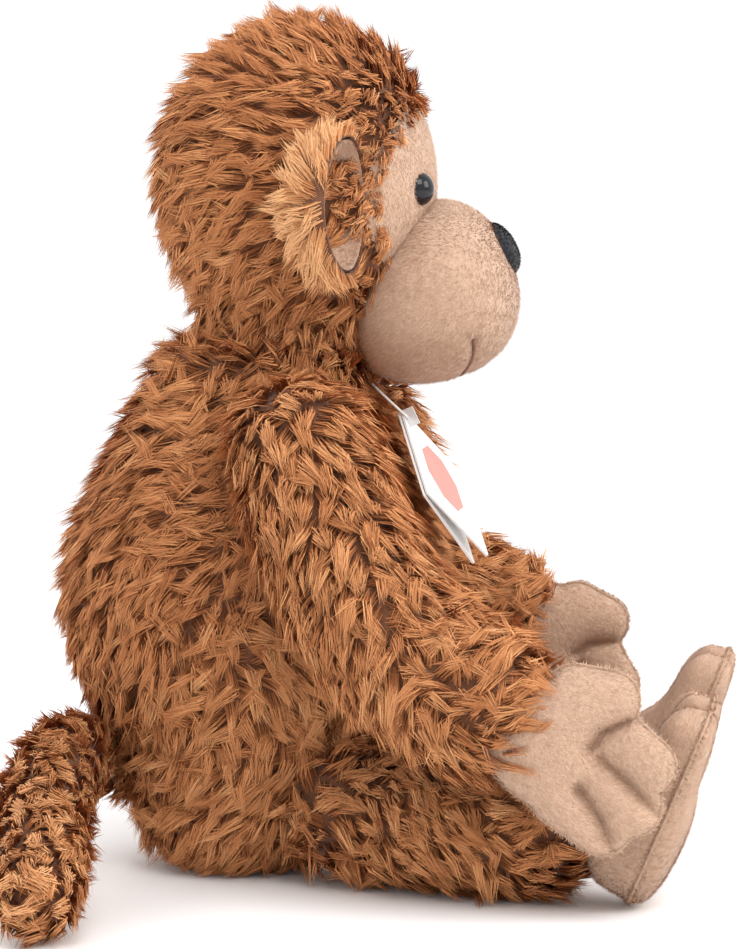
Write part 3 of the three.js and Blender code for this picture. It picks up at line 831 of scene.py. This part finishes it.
neck_low = PIVOT["neck_turn"] + np.array([0, 0, 4 * MM])
neck_high = PIVOT["head_nod"] + np.array([0, 0, 6 * MM])
neck_places, neck_faces, path, along = tube_skin([neck_low, neck_high], [(0, 27), (1, 27)], steps=10)
backing = mesh_object("neck_backing", neck_places, neck_faces, [BACKING])
fur = pile(
    "neck_pile", neck_places, neck_faces, along_path(path, -along), seed=20, length=11,
    keep=lambda p, n: abs(n[:, 2]) < 0.8,
)
ride_all("neck", backing, fur)
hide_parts("neck_plush")

# ---- Arms ---------------------------------------------------------------
# Each arm is one long furry sleeve from the shoulder seam to the cuff, softly filled, bending at the elbow.
ARM_RADII = [(0, 20), (0.15, 22.5), (0.5, 23), (0.84, 21.5), (0.93, 18), (1, 8)]
BEND_REACH = 16 * MM  # how far each way from a bend, along the path


def sleeve(
    name, points, radii, bodies, bend_at, seed, length=12.5, open_end=True, side=(1.0, 0.0, 0.0),
    lift=0.5, paler=0.2,
):
    """A furry tube along a path that bends at bend_at, standing for the two solid lengths named as they are.
    """
    places, faces, path, along = tube_skin(points, radii, side=side)
    backing = mesh_object(name + "_backing", places, faces, [BACKING])
    end, way = path[-1], along[-1]
    fur = pile(
        name + "_pile", places, faces, along_path(path, along), seed=seed, length=length,
        lift=lift, paler=paler, keep=(lambda p, n: ((p - end) @ way) < -1 * MM) if open_end else None,
    )
    nearest = np.argmin(((path - bend_at) ** 2).sum(1))
    reach = along[nearest] * BEND_REACH
    for o in (backing, fur):
        bend_at - reach
        bend_at + reach
        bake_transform(o)
    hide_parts(*bodies)


for seed, side in enumerate(SIDES):
    shoulder, elbow, wrist = (PIVOT[f"{j}_{side}"] for j in ("shoulder", "elbow", "wrist"))
    bodies = (f"upper_arm_{side}", f"forearm_{side}")
    sleeve(f"arm_{side}", [shoulder, elbow, wrist], ARM_RADII, bodies, elbow, seed=30 + seed)

# ---- Legs ---------------------------------------------------------------
# Shorter furry sleeves that lie forward on the floor from the hips to the ankles.
LEG_RADII = [(0, 21), (0.3, 21.5), (0.8, 20.5), (0.92, 17), (1, 8)]
for seed, side in enumerate(SIDES):
    hip, knee, ankle = (PIVOT[f"{j}_{side}"] for j in ("hip", "knee", "ankle"))
    bodies = (f"thigh_{side}", f"shin_{side}")
    sleeve(f"leg_{side}", [hip, knee, ankle], LEG_RADII, bodies, knee, seed=40 + seed)

# ---- Tail ---------------------------------------------------------------
# A furry tube sewn to the back seam, arching up and out to the right with its tip on the floor.
TAIL_RADII = [(0, 9), (0.2, 10.5), (0.5, 12.5), (0.85, 13), (1, 11)]
tip_low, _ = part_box("tail_tip")
tail_root, tail_bend = PIVOT["tail_swing"], PIVOT["tail_curl"]
tail_end = np.array([tip_low.x + 17 * MM, tip_low.y + 18 * MM, 16.5 * MM])
tail_rise = (tail_root + tail_bend) / 2 + np.array([0, 5 * MM, 2 * MM])
tail_fall = (tail_bend + tail_end) / 2 + np.array([0, 4 * MM, 1 * MM])
sleeve(
    "tail", [tail_root, tail_rise, tail_bend, tail_fall, tail_end], TAIL_RADII, ("tail_base", "tail_tip"),
    tail_bend, seed=50, length=11, open_end=False, side=(0.0, 0.0, 1.0), lift=0.4, paler=0.9,
)

# ---- Hands --------------------------------------------------------------
# Mitten-shaped hands of smooth beige cloth, each a back and a palm sewn round the outline.
# Two stitched lines through the filling part the fingers, and the thumb is a lobe on top.
SEAM_AROUND = 8


def capsule_distance(p, a, b, radius):
    a, b = np.array(a, float), np.array(b, float)
    t = np.clip(((p - a) @ (b - a)) / max((b - a) @ (b - a), 1e-9), 0, 1)
    return np.linalg.norm(p - a - t[:, None] * (b - a), axis=1) - radius


def outline_distance(p, capsules, soft=0.9):
    """Distance in mm to a rounded shape drawn as a few soft-edged bars, below 0 inside."""
    each = np.array([capsule_distance(p, a, b, r) for a, b, r in capsules])
    return -soft * np.log(np.exp(-each / soft).sum(0))


def line_distance(p, lines):
    return np.min([
        capsule_distance(p, a, b, 0.0) for line in lines for a, b in zip(line[:-1], line[1:])
    ], 0)


def cushion(capsules, stitches, cell=0.9):
    """A flat outline filled out like a pillow: places, faces, the pillow's height and its rim in order."""
    corners = np.array([c[k] for c in capsules for k in (0, 1)], float)
    reach = max(c[2] for c in capsules) + 4
    low, high = corners.min(0) - reach, corners.max(0) + reach
    us, vs = np.arange(low[0], high[0], cell), np.arange(low[1], high[1], cell)
    grid = np.stack(np.meshgrid(us, vs, indexing="ij"), -1)
    flat = grid.reshape(-1, 2)
    far = outline_distance(flat, capsules)
    inside = (far < 0.3 * cell).reshape(grid.shape[:2])
    pull = np.exp(-(line_distance(flat, stitches) / 1.15) ** 2).reshape(inside.shape)
    height = np.zeros(inside.shape)
    interior = (far < 0).reshape(inside.shape)
    for _ in range(1400):
        around = (
            np.roll(height, 1, 0) + np.roll(height, -1, 0) + np.roll(height, 1, 1) + np.roll(height, -1, 1)
        ) / 4
        height = np.where(interior, (around + cell**2 / 4) * (1 - 0.9 * pull), 0)
    quads = inside[:-1, :-1] & inside[1:, :-1] & inside[1:, 1:] & inside[:-1, 1:]
    number = np.arange(flat.shape[0]).reshape(inside.shape)
    faces = np.stack([number[:-1, :-1], number[1:, :-1], number[1:, 1:], number[:-1, 1:]], -1)[quads]
    edges = {}
    for f in faces.tolist():
        for a, b in zip(f, f[1:] + f[:1]):
            if edges.pop((b, a), None) is None:
                edges[(a, b)] = True
    after = dict(edges.keys())
    start = next(iter(after))
    rim = [start]
    while after[rim[-1]] != start and len(rim) < len(after):
        rim.append(after[rim[-1]])
    moved = flat.copy()
    for _ in range(3):
        d = outline_distance(moved[rim], capsules)
        slope = np.stack([
            outline_distance(moved[rim] + [0.1, 0], capsules) - d,
            outline_distance(moved[rim] + [0, 0.1], capsules) - d,
        ], 1) / 0.1
        moved[rim] -= slope * d[:, None] / np.maximum((slope**2).sum(1, keepdims=True), 0.2)
    rise = height.ravel() ** 0.4
    rise[rim] = 0
    used, faces = np.unique(faces, return_inverse=True)
    faces = faces.reshape(-1, 4)
    place_of = {int(u): i for i, u in enumerate(used)}
    return moved[used], faces, rise[used], [place_of[r] for r in rim]


def sewn_pair(names, body, shape, axes, origin, depths, seed, brush):
    """Two halves of smooth cloth that meet at their outline, with a little ridge of seam.

    Each half stands for the solid of its own name.
    """
    flat, faces, rise, rim = shape
    forward, upward, aside = axes
    triangles = np.concatenate([faces[:, [0, 1, 2]], faces[:, [0, 2, 3]]])
    for name, way, depth in zip(names, (1, -1), depths):
        out = rise / rise.max() * depth * way
        places = origin + (flat[:, :1] * forward + flat[:, 1:] * upward + out[:, None] * aside) * MM
        turned = triangles
        look = corner_normals(places, turned)
        if (look @ aside * way).sum() < 0:
            turned = triangles[:, ::-1]
        skin = mesh_object(name + "_skin", places, turned, [VELBOA])
        fuzz = nap(name + "_nap", places, turned, brush, 2.8, seed=seed + way)
        ride_all(body, skin, fuzz)
        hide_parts(name)
    edge = origin + (flat[rim][:, :1] * forward + flat[rim][:, 1:] * upward) * MM
    smooth = (np.roll(edge, 1, 0) + edge + np.roll(edge, -1, 0)) / 3
    centre = smooth.mean(0)
    away = unit(smooth - centre)
    ring = []
    for a in np.linspace(0, 2 * math.pi, SEAM_AROUND, endpoint=False):
        ring.append(smooth + away * (0.1 + 0.7 * math.cos(a)) * MM + aside * 0.6 * math.sin(a) * MM)
    places = np.concatenate(ring)
    count = len(rim)
    ridge_faces = []
    for i in range(SEAM_AROUND):
        here, there = i * count, (i + 1) % SEAM_AROUND * count
        for k in range(count):
            after = (k + 1) % count
            ridge_faces.append((here + k, here + after, there + after))
            ridge_faces.append((here + k, there + after, there + k))
    ridge_faces = outward(places - centre, np.array(ridge_faces))
    ridge = mesh_object(names[0] + "_seam", places, ridge_faces, [VELBOA])
    fringe = nap(names[0] + "_seam_nap", places, ridge_faces, away.mean(0), 6.0, 1.5, 0.9, seed=seed + 5)
    ride_all(body, ridge, fringe)


HAND_BARS = [  # forward and thumbward places in mm from the wrist, and half width
    ((-10, 0), (6, 0), 15.5), ((4, 0), (20, -1), 21), ((14, 3), (20, 1), 20),
    ((22, 11), (36, 9), 9.5), ((22, -2), (38, -5), 10), ((16, -14), (33, -16), 9.5),
    ((4, 18), (15, 22), 9.5),
]
HAND_STITCHES = [
    [(21, 4), (34, 1.5), (49, -4)], [(20, -8), (32, -14), (41, -22)], [(24, 20), (18, 12), (17, 5)],
]
hand_shape = cushion(HAND_BARS, HAND_STITCHES)
HAND_PITCH = {"right": 29.0, "left": 48.0}  # how far each hand points down, in degrees
HAND_DEPTHS = (13.5, 11.5)  # mm of filling on the back and on the palm
for seed, (side, s) in enumerate(SIDES.items()):
    tilt = math.radians(HAND_PITCH[side])
    forward = np.array([0, -math.cos(tilt), -math.sin(tilt)])
    upward = np.array([0, -math.sin(tilt), math.cos(tilt)])
    aside = np.array([s, 0.0, 0.0])
    sewn_pair(
        (f"hand_{side}_back", f"hand_{side}_palm"), f"hand_{side}", hand_shape, (forward, upward, aside),
        PIVOT[f"wrist_{side}"], HAND_DEPTHS, seed=20 + 6 * seed, brush=forward,
    )

# ---- Feet ---------------------------------------------------------------
# Broad feet of the same cloth that stand up from the ankles, with three toes stitched in the instep.
FOOT_BARS = [
    ((-3, 0), (8, 0), 20), ((8, 0), (28, 0), 22.5),
    ((28, -14), (41, -14.5), 9.5), ((28, 0), (43, 0), 9.5), ((28, 14), (41, 14.5), 9.5),
]
FOOT_STITCHES = [[(24, -6.5), (40, -7.2), (52, -7.5)], [(24, 6.5), (40, 7.2), (52, 7.5)]]
FOOT_PLACE = np.array([61, -107, 23.4]) * MM
FOOT_DEPTHS = (25, 9.5)  # mm of filling on the instep and on the sole
foot_shape = cushion(FOOT_BARS, FOOT_STITCHES)
for seed, (side, s) in enumerate(SIDES.items()):
    upward = unit(np.array([0.03 * s, -0.38, 0.92]))
    across = unit(np.cross(upward, [0, -1.0, 0]))
    instep_way = np.cross(upward, across)
    sewn_pair(
        (f"foot_{side}_instep", f"foot_{side}_sole"), f"foot_{side}", foot_shape,
        (upward, across, instep_way), TOY + FOOT_PLACE * [s, 1, 1], FOOT_DEPTHS,
        seed=40 + 6 * seed, brush=upward,
    )

# ---- Hang tag -----------------------------------------------------------
# A folded square of glossy white card, hung by one corner from a thread through a short clear tab.
# A plain coloured badge is printed on the front.
TAG_SIDE = 44 * MM
TAG_LEAF = 0.8 * MM
TAG_GAP = 0.4 * MM  # between the two leaves at the fold
tag_top = PIVOT["tag_swing"]
tag_low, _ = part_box("tag_back_leaf")
hang = unit(np.array([0, tag_low.y - tag_top[1], tag_low.z - tag_top[2]]))
face_way = unit(np.cross(hang, [1.0, 0, 0]))
TAG_OPEN = math.radians(6.0)
CARD = material("card", lambda place: {
    "Base_Color": noise(place, 90.0, 2.0).mixed((0.88, 0.87, 0.85), (0.93, 0.925, 0.91)),
    "Normal": bump(noise(place, 300.0, 2.0), 0.06, 0.0004),
}, Roughness=0.35)
BADGE = material("badge_ink", lambda place: {
    "Base_Color": noise(place, 200.0, 2.0).mixed((0.72, 0.16, 0.12), (0.80, 0.22, 0.17)),
}, Roughness=0.3)


def tag_place(flat, lift, opened):
    """Card places: flat runs from 0 to 1 over the square, from its fold and from its hung corner."""
    p = np.array(flat, float) * TAG_SIDE
    along_fold, off_fold = p[:, 0], p[:, 1]
    h = np.asarray(lift, float) * np.ones(len(p))
    y = off_fold * math.cos(opened) - h * math.sin(opened)
    z = off_fold * math.sin(opened) + h * math.cos(opened)
    fold_way = (hang - np.array([1.0, 0, 0])) / math.sqrt(2)
    off_way = (hang + np.array([1.0, 0, 0])) / math.sqrt(2)
    return tag_top + along_fold[:, None] * fold_way + y[:, None] * off_way + z[:, None] * face_way


def round_square(corner, steps=5):
    """The square's outline with small round corners, in shares of its side."""
    points = []
    for (cx, cy), start in (((1, 1), 0), ((0, 1), 90), ((0, 0), 180), ((1, 0), 270)):
        mx, my = (1 - corner if cx else corner), (1 - corner if cy else corner)
        for a in np.radians(np.linspace(start, start + 90, steps)):
            points.append((mx + corner * math.cos(a), my + corner * math.sin(a)))
    return np.array(points)


def plate(name, outline, low, high, opened, finish):
    """A flat piece of this outline between two heights over the back leaf's underside."""
    count = len(outline)
    places = np.concatenate([tag_place(outline, height, opened) for height in (low, high)])
    faces = [tuple(range(count))[::-1], tuple(range(count, 2 * count))]
    faces += [(k, (k + 1) % count, count + (k + 1) % count, count + k) for k in range(count)]
    return mesh_object(name, places, faces, [finish], smooth=False)


square = round_square(0.035)
back_leaf = plate("tag_back_card", square, 0.0, TAG_LEAF, 0.0, CARD)
leaf_rest = TAG_LEAF + TAG_GAP
front_leaf = plate("tag_front_card", square, leaf_rest, leaf_rest + TAG_LEAF, TAG_OPEN, CARD)
badge_angle = np.radians(np.arange(22.5, 360, 45))
badge_round = np.stack([np.cos(badge_angle), np.sin(badge_angle)], 1)
badge_flat = np.array([0.47, 0.47]) + 0.33 * badge_round * [1.0, 0.94]
badge_rest = 2 * TAG_LEAF + TAG_GAP
badge = plate("tag_badge", badge_flat, badge_rest - 0.02 * MM, badge_rest + 0.06 * MM, TAG_OPEN, BADGE)
ride_all("tag_back", back_leaf)
ride_all("tag_front", front_leaf, badge)
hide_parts("tag_back_leaf")
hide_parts("tag_front_leaf")

# The tab is a little soft clear plastic square on a loop of thread sewn in under the chin.
TAB = material("clear_tab", lambda place: {
    "Base_Color": noise(place, 150.0, 2.0).mixed((0.70, 0.70, 0.71), (0.82, 0.82, 0.83)),
}, Roughness=0.25, Alpha=0.82)
tab_middle = tag_top + hang * 4 * MM + face_way * 3.2 * MM + np.array([-3 * MM, 0, 0])
tab_across = unit(np.array([-0.35, -0.75, 0.35]))
tab_up = unit(np.cross(tab_across, [-1.0, 0.0, 0.0]))
TAB_HALF, TAB_THICK = 3.4, 0.4  # mm
tab_signs = ((-1, -1), (1, -1), (1, 1), (-1, 1))
corners = [tab_middle + (tab_across * a + tab_up * b) * TAB_HALF * MM for a, b in tab_signs]
thick = np.cross(tab_across, tab_up) * TAB_THICK * MM
tab_faces = [(3, 2, 1, 0), (4, 5, 6, 7)] + [(k, (k + 1) % 4, 4 + (k + 1) % 4, 4 + k) for k in range(4)]
tab = mesh_object("tag_tab", np.array(corners + [c + thick for c in corners]), tab_faces, [TAB], smooth=False)
tape_low, tape_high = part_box("tag_tape")
anchor = np.array([(tape_low.x + tape_high.x) / 2, tape_high.y, tape_high.z])
loop_points = []
for t in np.linspace(0, 1, 9):
    bow = np.array([-1.2 * MM * math.sin(math.pi * t), 0, 0])
    loop_points.append(anchor + (tab_middle - anchor) * t + bow)
LOOP = material("tag_thread", lambda place: {
    "Base_Color": noise(place, 900.0, 2.0).mixed((0.80, 0.79, 0.77), (0.9, 0.89, 0.87)),
}, Roughness=0.6)
loop = mesh_object("tag_thread", *thread_tube(loop_points, 0.45 * MM), [LOOP])
ride_all("torso", tab, loop)
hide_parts("tag_tape")

# ---- Inside -------------------------------------------------------------
# White fibre filling and the washers behind the eyes, hidden in use but present in the toy.
FILLING = material("fibre_filling", lambda place: {
    "Base_Color": noise(place, 120.0, 4.0, 0.7).mixed((0.80, 0.80, 0.78), (0.94, 0.94, 0.92)),
    "Normal": bump(noise(place, 200.0, 4.0, 0.7), 0.8, 0.002),
}, Roughness=1.0)
WASHER = material("washer_plastic", lambda place: {
    "Base_Color": noise(place, 80.0, 2.0).mixed((0.80, 0.80, 0.78), (0.86, 0.86, 0.84)),
}, Roughness=0.45)
for name in ("torso_stuffing", "head_stuffing", "muzzle_stuffing", "eye_washer_right", "eye_washer_left"):
    node = frame["nodes"][name]
    node.data.materials.clear()
    node.data.materials.append(FILLING if name.endswith("stuffing") else WASHER)
